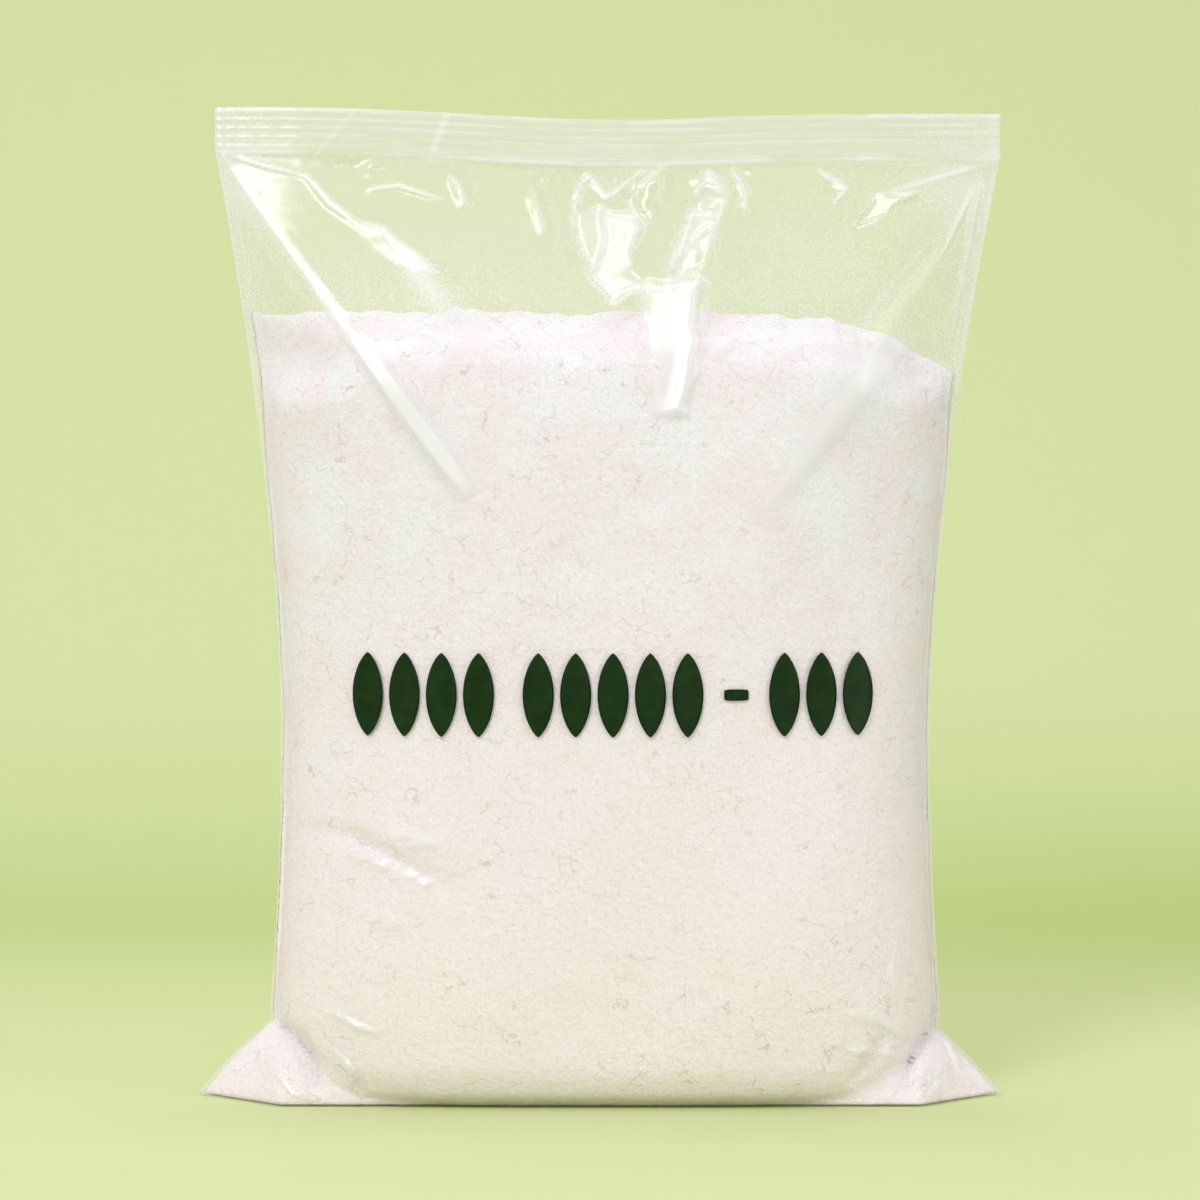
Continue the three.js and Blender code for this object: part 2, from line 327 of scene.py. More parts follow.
def slope_to_light(x, z):
    """The slope, across and up, at which the front panel mirrors the key light to the camera."""
    normal = 0
    for far in (CAMERA_PLACE, KEY_PLACE):
        way = np.stack([far[0] / MM - x, far[1] / MM + 0 * x, far[2] / MM - z])
        normal = normal + way / np.sqrt((way**2).sum(axis=0))
    return normal[0] / normal[1], normal[2] / normal[1]


class Facet:
    """A patch of slack film that lies flat, tilted to the light, inside an outline in the front view.

    soft is the width of its border, lift is how far its middle stands off what the film is pressed
    against, turn adds to its slope, and milk whitens it, as painted highlight where the patch shines.
    """

    def __init__(self, corners, soft=3.0, lift=0.0, turn=(0.0, 0.0), milk=0.0):
        self.corners = np.array(corners, float)
        self.middle = self.corners.mean(axis=0)
        self.slope = [part + more for part, more in zip(slope_to_light(*self.middle), turn)]
        self.soft = soft
        self.lift = lift
        self.milk = milk
        self.reach = np.hypot(*(self.corners - self.middle).T).max() + soft + 2

    def lay(self, x, z, side, depth):
        """Lays the patch over a panel's depth."""
        near = np.hypot(x - self.middle[0], z - self.middle[1]) < self.reach
        under = float(packed_depth(*self.middle[:, None], side)[0])
        plane = self.plane(x[near], z[near], under + self.lift)
        depth = depth.copy()
        depth[near] += self.cover(x[near], z[near]) * (plane - depth[near])
        return depth

    def cover(self, x, z):
        """1 well inside the ragged outline, 0 outside it."""
        ragged_x = x + 0.9 * noise(x, z, 0, 4.0, 81)
        ragged_z = z + 0.9 * noise(x, z, 0, 4.0, 82)
        nearest = np.full(np.shape(x), np.inf)
        inside = np.zeros(np.shape(x), bool)
        for (x0, z0), (x1, z1) in zip(self.corners, np.roll(self.corners, -1, axis=0)):
            dx, dz = x1 - x0, z1 - z0
            from_x, from_z = ragged_x - x0, ragged_z - z0
            along = np.clip((from_x * dx + from_z * dz) / (dx**2 + dz**2), 0, 1)
            nearest = np.minimum(nearest, np.hypot(from_x - along * dx, from_z - along * dz))
            crosses = (z0 > ragged_z) != (z1 > ragged_z)
            edge_x = x0 + dx * from_z / (dz if dz != 0 else 1e-9)
            inside ^= crosses & (ragged_x < edge_x)
        return smoothstep(-self.soft, self.soft * 0.4, np.where(inside, nearest, -nearest))

    def plane(self, x, z, middle_depth):
        across, up = self.slope
        return middle_depth + across * (x - self.middle[0]) + up * (z - self.middle[1])


def ribbon(x, z, side, depth, fold):
    """Depth with a narrow ribbon of film along a fold laid flat, tilted to the light."""
    on_x, on_z, away, held = fold.nearest(x, z)
    width = fold.width + (fold.end_width - fold.width) * held
    cover = 1 - smoothstep(0.8, 1.8, away / width)
    across, up = slope_to_light(on_x, on_z)
    flat = loose_depth(on_x, on_z, side) + across * (x - on_x) + up * (z - on_z)
    return depth + cover * (flat - depth)


# The shine on these folds whitens their crests: milky film, and painted highlight where the film
# glints.
LONG_FOLD = Fold([(-94, 235.5), (-60, 189), (-31, 150)], 0.0, 0.9, 2.6, shine=0.85)
FRONT_FOLDS = [
    LONG_FOLD,
    # The head's left side: the long fold from the corner, and the crease above it with its knot.
    Fold([(-60, 189), (-46, 170), (-31, 150)], 0.9, 2.2, 3.6, shine=0.9),
    Fold([(-93.3, 235.6), (-83.3, 232.3), (-72.5, 229.8)], 0.6, 0.7, shine=0.5),
    Fold([(-73, 230), (-67, 223), (-60, 218)], 0.8, 0.9, 1.1, shine=0.85),
    Fold([(-60, 218), (-54, 216.5), (-50, 212), (-40, 205)], 0.8, 1.2, 2.0, shine=0.7),
    Fold([(-58, 216), (-48, 209), (-36, 194)], 0.5, 1.8, 5.5, shine=0.5),
    Fold([(-57, 227), (-50, 228), (-38, 224.5)], 0.6, 0.8, shine=0.6),
    Fold([(-37, 231), (-32.5, 223)], 0.9, 1.0, 1.8, shine=0.45),
    Fold([(-17, 228), (-13.5, 216)], 0.7, 1.6, shine=0.25),
    # The head's right side.
    Fold([(74, 190), (38, 144)], 0.9, 4.5, 4.5, shine=0.5),
    Fold([(98, 235), (84, 231), (66, 225)], 0.6, 0.9, 1.4, shine=0.4),
    Fold([(95, 229), (88, 190)], 1.0, 1.1, shine=0.45),
    Fold([(93, 228), (84, 209)], 0.7, 0.7, shine=0.3),
    Fold([(55, 233), (61, 228), (58, 224)], 0.7, 0.9, shine=0.5),
    # Milky streaks: two across the weld, and the slack drape right of the middle.
    Fold([(-42.5, 235), (-37.5, 248)], 0.0, 1.5, shine=0.45),
    Fold([(-71, 235), (-60, 248)], 0.0, 1.0, shine=0.25),
    Fold([(29, 231), (25, 218), (17, 203)], 0.3, 3.5, 5.5, shine=0.4),
    # Between them, the outlines of the crushed film under the middle of the weld.
    Fold([(-7, 219), (-5, 230), (-3, 233), (2, 227), (10, 234), (14, 234)], 0.6, 0.6, shine=0.5),
    Fold([(11, 219), (7, 226), (14, 234)], 0.5, 0.6, shine=0.5),
    Fold([(18, 206), (25, 229), (27, 233), (31, 226), (24, 204)], 0.6, 0.8, shine=0.35),
    Fold([(33, 234), (36, 228), (36, 222)], 0.6, 0.9, shine=0.5),
    # The waist, where the film is drawn in on the left.
    Fold([(-72, 67.5), (-61, 67), (-50, 61.5), (-36, 54)], -1.8, 1.7, packed=True),
    Fold([(-62, 63), (-50, 59.5), (-38, 55)], 1.0, 1.2, shine=0.6),
    Fold([(-53, 68.5), (-44, 65.5), (-36, 64.5)], 0.4, 1.6, shine=0.5),
    Fold([(-59, 49.5), (-50.5, 44.5)], 0.4, 1.2, 1.6, shine=0.5),
    Fold([(-70, 57), (-64, 53)], 0.4, 0.8, shine=0.4),
    Fold([(-81, 78), (-71, 70)], 0.7, 1.3, shine=0.2),
    # The lower left corner.
    Fold([(-69, 24.5), (-53, 18.5)], 0.5, 1.2, shine=0.5),
    Fold([(-68, 16), (-60, 8.5)], 0.6, 1.3, shine=0.5),
    Fold([(-84.5, 12), (-81, 2.5)], 0.6, 1.2, shine=0.4),
    Fold([(-80, 7.5), (-71, 0.8)], 0.6, 0.9, shine=0.7),
    Fold([(-82, 19), (-76, 16), (-72, 11), (-70, 3)], -4.0, 1.8, packed=True),
    # The lower right corner.
    Fold([(56, 17), (62.5, 14.8), (74, 12.3), (78, 17)], 0.6, 1.2, shine=0.45),
    Fold([(80, 1.5), (86, 8)], 0.6, 1.1, shine=0.55),
    Fold([(86.5, 14), (89, 7)], 0.5, 0.9, shine=0.35),
    Fold([(60, 24), (68, 22), (76, 17)], 0.6, 1.8, shine=0.35),
    Fold([(56, 45), (70, 50)], 0.4, 1.4, shine=0.2),
    Fold([(76, 46), (69, 24)], 0.8, 2.0, shine=0.1),
    Fold([(84.5, 19), (80, 13), (77, 7), (75.5, 1)], -4.0, 1.8, packed=True),
    Fold([(71, 17.5), (68, 12), (62, 5)], -1.6, 1.6, packed=True),
    Fold([(80, 11), (72, 6), (66, 1)], -1.6, 1.4, packed=True),
]
BACK_FOLDS = [
    Fold([(-92, 232), (-48, 168)], 1.0, 1.6, 4.0, shine=0.3),
    Fold([(-12, 235), (-8, 188)], 2.2, 4.0, 6.0),
    Fold([(95, 232), (40, 158)], 1.0, 1.6, 4.0, shine=0.3),
    Fold([(80, 66), (44, 50)], -1.8, 3.0, packed=True),
    Fold([(-74, 20), (-58, 5)], 1.4, 2.0, shine=0.3),
    Fold([(75, 19), (60, 5)], 1.4, 2.0, shine=0.3),
    Fold([(-82, 19), (-76, 16), (-72, 11), (-70, 3)], -3.2, 2.0, packed=True),
    Fold([(84.5, 19), (80, 13), (77, 7), (75.5, 1)], -3.2, 2.0, packed=True),
]
FRONT_FACETS = [
    # The large patches that shine white: two under the middle of the weld, and one over the flour.
    # Their milk is painted highlight.
    Facet(
        [(1, 222), (8, 222), (10, 218), (7, 210), (6, 206), (10, 202), (3, 199), (-1, 205)],
        soft=2.0,
        turn=(0.08, 0.02),
        milk=0.45,
    ),
    Facet(
        [(-6, 216), (-5, 221), (0, 223), (0, 214), (-2, 206)],
        soft=1.6,
        turn=(0.14, -0.02),
        milk=0.3,
    ),
    Facet(
        [(11.5, 202), (24.5, 202), (22.5, 186), (20.5, 171), (13, 171), (11.5, 186)],
        soft=2.6,
        turn=(0.08, 0.02),
        milk=0.42,
    ),
    # Crushed film beside them, and the glint at the right of the weld.
    Facet([(26, 233), (31, 228), (29, 222), (23, 222)], soft=1.0),
    Facet([(27, 219), (29, 212), (20, 203), (18, 206)], soft=1.0, turn=(-0.06, 0.0)),
    Facet([(15, 234), (6, 227), (12, 219)], soft=1.0),
    Facet([(68, 226), (79, 227), (70, 221), (65, 219)], soft=1.0),
    # Small flat patches round the left waist and at both lower corners.
    Facet([(-52, 60.5), (-46, 59.5), (-38, 54), (-43, 55)], soft=1.2, lift=0.8),
    Facet([(-55, 50), (-51, 48.5), (-48, 44), (-53, 46.5)], soft=1.2, lift=0.7),
    Facet([(-53, 69), (-44, 66.5), (-38, 65), (-46, 66)], soft=1.2, lift=0.6),
    Facet([(-65.5, 23.5), (-60, 22), (-53, 19), (-60, 20.5)], soft=1.2, lift=0.7),
    Facet([(-67.5, 16.5), (-64, 15), (-60, 9), (-64.5, 12)], soft=1.2, lift=0.9),
    Facet([(-85, 12.5), (-83, 11.5), (-81.5, 5), (-84, 8)], soft=1.0, lift=0.8),
    Facet([(-79.5, 7.5), (-76, 5.5), (-71.5, 1.5), (-76, 3)], soft=1.0, lift=0.9),
    Facet([(60, 15.5), (66, 15.5), (64, 13), (61, 13.5)], soft=1.2, lift=0.8),
    Facet([(79.5, 2.5), (82.5, 4.5), (86, 8.5), (83, 7.5)], soft=1.0, lift=0.8),
    Facet([(86, 14), (88, 13), (89.5, 8), (87.5, 9.5)], soft=1.0, lift=0.6),
]


def folds_of(side):
    return FRONT_FOLDS if side == FRONT else BACK_FOLDS


def relief_room(x, z):
    """Where relief may lie: clear of both edges, the base and the weld."""
    under_weld = 1 - smoothstep(WELD_Z - 2, WELD_Z, z)
    return smoothstep(0, 5, inset_at(x, z)) * smoothstep(0, 3, z) * under_weld


# Height of a triangle with sides of length 1.
TRIANGLE_HEIGHT = 0.866


def facets(x, z, size, seed):
    """Flat triangles that meet along sharp creases, with corners from -1 to 1 high."""
    v = z / (TRIANGLE_HEIGHT * size) + CELL_SHIFT
    u = x / size + CELL_SHIFT - 0.5 * v
    cell_u, cell_v = np.floor(u), np.floor(v)
    part_u, part_v = u - cell_u, v - cell_v

    def corner(step_u, step_v):
        return random_at(seed, cell_u + step_u, cell_v + step_v)

    beside, above = corner(1, 0), corner(0, 1)
    near = corner(0, 0) * (1 - part_u - part_v) + beside * part_u + above * part_v
    far = corner(1, 1) * (part_u + part_v - 1) + above * (1 - part_u) + beside * (1 - part_v)
    return np.where(part_u + part_v < 1, near, far)


# Where the film is gathered under the weld: x at the weld, x at the foot, half width, how far it
# hangs down, and strength.
GATHERS = [
    (-63, -60, 7, 6, 0.9),
    (-50, -48, 8, 5, 0.7),
    (-35, -33, 3, 12, 0.8),
    (-16, -13, 3, 16, 0.7),
    (0, 1, 9, 12, 1.0),
    (14, 10, 5, 18, 0.9),
    (29, 17, 5, 34, 1.2),
    (35, 35, 4, 14, 0.8),
    (60, 61, 4, 10, 0.8),
    (78, 76, 7, 6, 0.8),
]


def gathering(x, z):
    """Small sharp folds that hang from the weld in places, and die out below it."""
    below = WELD_Z - z
    strength = 0.1 * np.exp(-below / 8.0)
    for top_x, foot_x, half_width, drop, share in GATHERS:
        middle = top_x + (foot_x - top_x) * np.clip(below / drop, 0, 1.3)
        across = np.exp(-(((x - middle) / half_width) ** 4))
        strength = strength + share * across * (1 - smoothstep(0.5, 1.2, below / drop))
    return np.clip(strength, 0, 1.2) * smoothstep(0, 4, below)


def crumple(x, z, side):
    """Slack film breaks into flat facets: large ones in the head, small sharp ones under the weld."""
    slack = smoothstep(SHOULDER_Z + 4, SHOULDER_Z + 20, z)
    warp_x = x + 3.0 * noise(x, z, 0, 12.0, 41 + side)
    warp_z = z + 3.0 * noise(x, z, 0, 12.0, 43 + side)
    broad = 0.35 * facets(warp_x, warp_z * 0.7, 26.0, 45 + side)
    small = 0.7 * facets(warp_x, warp_z * 0.6, 5.0, 47 + side)
    small = small + 0.3 * facets(warp_x, warp_z, 2.4, 48 + side)
    gathered = smoothstep(SHOULDER_Z, SHOULDER_Z + 12, z) * gathering(x, z)
    return slack * broad + gathered * small


def smooth_min(a, b, radius):
    held = np.clip(0.5 + 0.5 * (b - a) / radius, 0, 1)
    return b * (1 - held) + a * held - radius * held * (1 - held)


def corner_depth(x, z, inset):
    """Half depth of the head's two flat corners, which slope down to the side edges."""
    slope = CORNER_SLOPE * (1 + CORNER_STEEPENING * smoothstep(SHOULDER_Z, WELD_Z, z))
    left = slope * (x - left_edge(z) - inset)
    right = slope * (right_edge(z) - inset - x)
    release = CORNER_RELEASE * (1 - smoothstep(CORNER_FROM_Z, SHOULDER_Z, z))
    return np.maximum(np.minimum(left, right), 0) + release


def packed_depth(x, z, side):
    """Half depth of what the film is pressed against."""
    body = body_depth_at(x, z, inset=FIN_WIDTH)
    down_from_weld = 1 - smoothstep(SHOULDER_Z, WELD_Z, z)
    rounding = CORNER_ROUNDING + (SHOULDER_ROUNDING - CORNER_ROUNDING) * down_from_weld
    body = smooth_min(body, corner_depth(x, z, FIN_WIDTH), rounding)
    plain = np.maximum(body, ear_depth_at(x, z))
    dents = sum(fold.at(x, z) for fold in folds_of(side) if fold.packed)
    return plain + relief_room(x, z) * (lump_height(x, z, side) + dents)


def loose_depth(x, z, side):
    """Half depth of a panel with its own folds, where it isn't crumpled."""
    loose = sum(fold.at(x, z) for fold in folds_of(side) if not fold.packed)
    return packed_depth(x, z, side) + relief_room(x, z) * loose


def film_half_depth(x, z, side):
    """Half depth of one panel of film at a point of the front view."""
    inset = inset_at(x, z)
    fin = FIN_SLOPE * np.minimum(inset, FIN_WIDTH * 2)
    depth = loose_depth(x, z, side)
    if side == FRONT:
        depth = ribbon(x, z, side, depth, LONG_FOLD)
        for facet in FRONT_FACETS:
            depth = facet.lay(x, z, side, depth)
    depth = depth + relief_room(x, z) * crumple(x, z, side)
    up_weld = (z - WELD_Z) / (TOP_Z - WELD_Z)
    ribs = np.where(up_weld > 0, np.sin(math.pi * WELD_RIBS * up_weld) ** 2, 0)
    thinnest = np.maximum(fin, np.minimum(FILM_HALF_DEPTH, inset))
    return np.maximum(depth, thinnest) + WELD_RIB_HEIGHT * ribs


def spine(x, z):
    """The film's edges and weld aren't quite flat: how far both panels are pushed back together."""
    at_edge = np.exp(-inset_at(x, z) / 6.0) * smoothstep(20, 40, z)
    at_edge = at_edge * (1 - smoothstep(SHOULDER_Z, WELD_Z, z))
    edge_x = np.sign(x) * 50
    edge_wave = 1.1 * noise(edge_x, z, 0, 24.0, 5) + 0.5 * noise(edge_x, z, 0, 9.0, 6)
    weld_wave = smoothstep(SHOULDER_Z + 10, WELD_Z, z) * 0.7 * np.sin(x / 27.0 - 1.0)
    weld_wave = weld_wave + smoothstep(WELD_Z - 5, WELD_Z, z) * 0.3 * np.sin(x / 9.0)
    crushed = np.exp(-(((x - 1) / 10.0) ** 4)) * smoothstep(WELD_Z - 6, WELD_Z, z)
    return at_edge * edge_wave + weld_wave + 0.3 * crushed * facets(x, z, 4.0, 95)


# How far out from the middle of the base the film's lowest rows of points lie.
UNDER_BASE = [0.0, 0.35, 0.7, 0.9]
# The film clings to the flour below its level, and lets go of it between these two distances.
CLING_FROM_LEVEL = -4
CLING_FULL_BELOW = -14
CLING_AWAY = 0.15
LOOSE_AWAY = 0.8


def columns_between(count, crowding=0.4):
    """Places from -1 to 1, crowded towards both edges, where the film turns from front to back."""
    u = np.linspace(-1, 1, count + 1)
    return (1 - crowding) * u + crowding * np.sin(math.pi / 2 * u)


def rows_between(*bands):
    """Heights from 0 up, given as (height reached, number of rows) bands."""
    heights = [0.0]
    for top, count in bands:
        heights.extend(np.linspace(heights[-1], top, count + 1)[1:])
    return np.array(heights)


def smooth_piece(name, points, faces):
    """A smooth-shaded mesh object in the scene, from points in metres."""
    mesh = bpy.data.meshes.new(name)
    mesh.from_pydata(points, [], faces)
    mesh.update()
    for polygon in mesh.polygons:
        polygon.use_smooth = True
    piece = bpy.data.objects.new(name, mesh)
    bpy.context.scene.collection.objects.link(piece)
    return piece


def closed_mesh(name, front, back):
    """One closed mesh from two grids of points that meet along both edges, capped below and above."""
    rows, across = front.shape[:2]
    columns = across - 1
    around = 2 * columns
    rings = np.concatenate([front, back[:, -2:0:-1]], axis=1)
    here = np.arange((rows - 1) * around).reshape(rows - 1, around)
    beside = np.roll(here, -1, axis=1)
    walls = np.stack([here, beside, beside + around, here + around], axis=-1).reshape(-1, 4)
    column = np.arange(columns)
    near, near_next = column, column + 1
    far, far_next = (around - column) % around, around - column - 1
    caps = []
    for first, up in ((0, False), ((rows - 1) * around, True)):
        for strip in np.stack([near, near_next, far_next, far], axis=-1) + first:
            corners = list(dict.fromkeys(int(corner) for corner in strip))
            caps.append(corners if up else corners[::-1])
    return smooth_piece(name, (rings.reshape(-1, 3) * MM).tolist(), walls.tolist() + caps)


def sheet_mesh(name, grid, values):
    """An open sheet from a grid of points, with named values kept at its points."""
    rows, across = grid.shape[:2]
    here = np.arange(rows * across).reshape(rows, across)
    faces = np.stack([here[:-1, :-1], here[:-1, 1:], here[1:, 1:], here[1:, :-1]], axis=-1)
    points = (grid.reshape(-1, 3) * MM).tolist()
    piece = smooth_piece(name, points, faces.reshape(-1, 4).tolist())
    for label, value in values.items():
        attribute = piece.data.attributes.new(label, "FLOAT", "POINT")
        attribute.data.foreach_set("value", value.astype(np.float32).ravel())
    return piece


def film_panel(name, side, column_count, bands):
    """One panel of the bag's film, from the middle of the base up to the top of the weld."""
    columns = columns_between(column_count) * -side
    heights = rows_between(*bands)
    drawn_out = np.concatenate([UNDER_BASE, np.ones(len(heights))])
    heights = np.concatenate([np.zeros(len(UNDER_BASE)), heights])
    z = np.repeat(heights[:, None], len(columns), axis=1)
    left, right = left_edge(z), right_edge(z)
    x = (left + right) / 2 + (right - left) / 2 * columns
    depth = film_half_depth(x, z, side)
    depth[:, 0] = depth[:, -1] = 0
    away = depth - packed_depth(x, z, side)
    haze_and_painted_highlight = film_haze_and_painted_highlight(x, z, depth, side)
    depth = depth * drawn_out[:, None]
    grid = np.stack([x, side * depth + spine(x, z), z - hang(x, z)], axis=-1)
    filled = 1 - smoothstep(CLING_FULL_BELOW, CLING_FROM_LEVEL, z - flour_level(x))
    cling = filled * (1 - smoothstep(CLING_AWAY, LOOSE_AWAY, away))
    if side == FRONT:
        cling = cling * (1 - LONG_FOLD.spread(x, z, narrow=2.0))
    return sheet_mesh(name, grid, {"cling": cling, "dust": flour_dust(x, z), "haze_and_painted_highlight": haze_and_painted_highlight})


# How milky the film looks: along its side edges, on the weld, on the weld's ribs, along the weld's
# two ends, and on sharp creases. On the ribs, the weld's ends and the creases it is partly painted
# highlight.
EDGE_MILK = 0.2
WELD_MILK = 0.17
RIB_MILK = 0.3
WELD_END_MILK = 0.6
CREASE_MILK = 0.25
# The head's two milky upper corners: place across, and how milky.
MILKY_CORNERS = ((-86, 0.3), (90, 0.22))
CORNER_Z = 228


def film_haze_and_painted_highlight(x, z, depth, side):
    """Where the film looks whiter: on its creases, along its edges, on the ribs of the weld, along
    folds and on the shining patches, as milky film and partly as painted highlight.
    """
    haze_and_painted_highlight = EDGE_MILK * np.exp(-inset_at(x, z) / 4.0) + WELD_MILK * smoothstep(WELD_Z - 1, WELD_Z, z)
    up_weld = np.clip(z - WELD_Z, 0, None) / (TOP_Z - WELD_Z)
    rib = np.sin(math.pi * (WELD_RIBS + 1) * up_weld) ** 8
    streaks = noise(x, z * 9, 0, 17.0, 91) + 0.4 * noise(x, z * 9, 0, 5.0, 92)
    weld_ends = np.exp(-(((z - WELD_Z) / 0.5) ** 2)) + np.exp(-(((z - TOP_Z) / 0.5) ** 2))
    haze_and_painted_highlight = haze_and_painted_highlight + smoothstep(-0.5, 0.7, streaks) * (RIB_MILK * rib + WELD_END_MILK * weld_ends)
    for corner_x, milk in MILKY_CORNERS:
        haze_and_painted_highlight = haze_and_painted_highlight + milk * np.exp(-(((x - corner_x) / 11.0) ** 2) - ((z - CORNER_Z) / 8.0) ** 2)
    # Fold crests and shining patches: milky film, and painted highlight.
    for fold in folds_of(side):
        haze_and_painted_highlight = haze_and_painted_highlight + fold.shine * fold.spread(x, z, narrow=0.7)
    for facet in FRONT_FACETS if side == FRONT else ():
        haze_and_painted_highlight = haze_and_painted_highlight + facet.milk * facet.cover(x, z)
    in_head = smoothstep(SHOULDER_Z - 20, SHOULDER_Z + 10, z) * (z < WELD_Z - 1)
    return np.clip(haze_and_painted_highlight + CREASE_MILK * in_head * smoothstep(0.05, 0.4, bend_of(depth)), 0, 1)


def bend_of(depth):
    """How sharply a grid of depths bends at each point, across and up."""
    bend = np.zeros_like(depth)
    bend[:, 1:-1] = depth[:, :-2] + depth[:, 2:] - 2 * depth[:, 1:-1]
    bend[1:-1] = np.abs(bend[1:-1]) + np.abs(depth[:-2] + depth[2:] - 2 * depth[1:-1])
    return bend


def flour_dust(x, z):
    """How thickly fine flour clings to the inside of the empty film."""
    above = z - flour_level(x)
    near_flour = np.exp(-np.maximum(above, 0) / 9.0) * smoothstep(-6, 1, above)
    right_patch = np.exp(-(((x - 62) / 26) ** 2) - ((z - 212) / 17) ** 2)
    left_patch = np.exp(-(((x + 40) / 24) ** 2) - ((z - 203) / 9) ** 2)
    edges = np.exp(-(((np.abs(x) - 88) / 12) ** 2))
    bare = smoothstep(-6, 1, above)
    patches = bare * (0.9 * right_patch + 0.8 * left_patch)
    return np.clip(0.7 * near_flour + patches + 0.4 * edges, 0, 1)


# How far the flour stays in from the bag's edges: low down, more near its top, more in the ears.
SIDE_ROOM = 0.6
TOP_SIDE_ROOM = 1.6
EAR_ROOM = 0.7
# How the flour's level line wavers, and how rough its faces are: height, size and seed.
LEVEL_WAVES = ((0.9, 7.0, 61), (0.5, 2.6, 62))
CRAGS = ((0.35, 6.0, 71), (0.22, 2.4, 72))
# How much of the crags shows where the film presses on them, what the open top adds, and how far
# they are sunk in so that they stay inside the film.
PRESSED_CRAGS = 0.45
OPEN_CRAGS = 1.6
CRAG_SINK = 0.3


def flour_outline(columns, t):
    """The flour's points in the front view, its level and its two edges. t runs up from 0 to 1."""
    x = 0 * t + columns * HIP_HALF_WIDTH
    for _ in range(3):
        waves = sum(high * noise(x, 0, 0, size, seed) for high, size, seed in LEVEL_WAVES)
        level = flour_level(x) + waves
        z = t * level
        room = SIDE_ROOM + TOP_SIDE_ROOM * smoothstep(150, 185, z)
        room = room + EAR_ROOM * (1 - smoothstep(8, 24, z))
        room = room + 0.25 * noise(np.sign(x) * 40, z, 0, 9.0, 63)
        left = left_edge(z) + room
        right = right_edge(z) - room
        x = (left + right) / 2 + (right - left) / 2 * columns
    return x, z, level, left, right


def flour_piece():
    """The flour: it fills the film up to its level, where it rounds over from front to back."""
    columns = columns_between(180)
    share = rows_between((0.1, 18), (0.88, 110), (0.99, 36), (1, 8))
    t = np.repeat(share[:, None], len(columns), axis=1)
    x, z, level, left, right = flour_outline(columns, t)
    panels = {}
    for side in (FRONT, BACK):
        rising = np.clip((z - level + FLOUR_SHOULDER) / FLOUR_SHOULDER, 0, 1)
        rounding = np.sqrt(np.clip(1 - rising**2, 0, 1))
        squeeze = (x - (left + right) / 2) / ((right - left) / 2)
        film_x = (left_edge(z) + right_edge(z)) / 2 + (right_edge(z) - left_edge(z)) / 2 * squeeze
        contact = packed_depth(film_x, z, side)
        depth = np.maximum(contact - FLOUR_INSET, 0) * rounding
        crags = sum(high * noise(x, side * depth, z, size, seed) for high, size, seed in CRAGS)
        open_top = smoothstep(0, 0.4, rising)
        crags = crags * (PRESSED_CRAGS + OPEN_CRAGS * open_top) - CRAG_SINK
        depth = np.maximum(depth + crags * smoothstep(0, 4, depth), 0.02)
        depth[:, 0] = depth[:, -1] = 0
        low = np.maximum(z, 0.25)
        panels[side] = np.stack([x, side * depth, low], axis=-1)
    return closed_mesh("flour", panels[FRONT], panels[BACK])


# Materials.


class Nodes:
    """Adds shader nodes to a material, with their sockets set by value or linked."""

    def __init__(self, name):
        self.material = bpy.data.materials.new(name)
        self.material.use_nodes = True
        self.tree = self.material.node_tree
        self.tree.nodes.clear()

    def add(self, kind, inputs=None, **settings):
        node = self.tree.nodes.new(kind)
        for name, value in settings.items():
            setattr(node, name, value)
        for key, value in (inputs or {}).items():
            socket = node.inputs[key]
            if isinstance(value, bpy.types.NodeSocket):
                self.tree.links.new(value, socket)
            else:
                socket.default_value = value
        return node

    def math(self, operation, *values, clamp=False):
        inputs = dict(enumerate(values))
        return self.add("ShaderNodeMath", inputs, operation=operation, use_clamp=clamp).outputs[0]

    def vector(self, operation, inputs):
        return self.add("ShaderNodeVectorMath", inputs, operation=operation).outputs[0]

    def noise(self, vector, scale, detail=2.0, roughness=0.5):
        inputs = {"Vector": vector, "Scale": scale, "Detail": detail, "Roughness": roughness}
        return self.add("ShaderNodeTexNoise", inputs).outputs["Fac"]

    def span(self, value, low, high, to_low=0.0, to_high=1.0):
        inputs = {
            "Value": value,
            "From Min": low,
            "From Max": high,
            "To Min": to_low,
            "To Max": to_high,
        }
        return self.add("ShaderNodeMapRange", inputs, interpolation_type="SMOOTHSTEP").outputs[0]

    def mix_colour(self, factor, first, second):
        inputs = {0: factor, 6: first, 7: second}
        return self.add("ShaderNodeMix", inputs, data_type="RGBA").outputs[2]

    def mix_shader(self, factor, first, second):
        return self.add("ShaderNodeMixShader", {0: factor, 1: first, 2: second}).outputs[0]

    def attribute(self, name):
        return self.add("ShaderNodeAttribute", attribute_name=name).outputs["Fac"]

    def place(self):
        return self.add("ShaderNodeTexCoord").outputs["Object"]

    def finish(self, shader):
        self.add("ShaderNodeOutputMaterial", {"Surface": shader})
        return self.material


# Colours of the flour: high and low in the bag, blended by height as painted light and shade (the low
# one is darker and less green, to offset the green light from the floor), in its pinkish patches, and
# the painted shade in its cracks.
FLOUR_TOP_PAINTED_LIGHT = (0.965, 0.950, 0.980, 1)
FLOUR_LOW_PAINTED_SHADE = (0.950, 0.866, 0.912, 1)
FLOUR_PINK = (0.970, 0.864, 0.888, 1)
# The crack colour, with the crack and pit shares, paints shade into the cracks and small pits.
CRACK_PAINTED_SHADE_COLOUR = (0.52, 0.42, 0.36, 1)
PINK_SHARE = 0.7
CRACK_SHADE = 0.55
PIT_PAINTED_SHADE = 0.5
GRAIN_SHADE = 0.14
CRUMB_FLATNESS = 1.35
CLUMP_HEIGHT = 0.0009

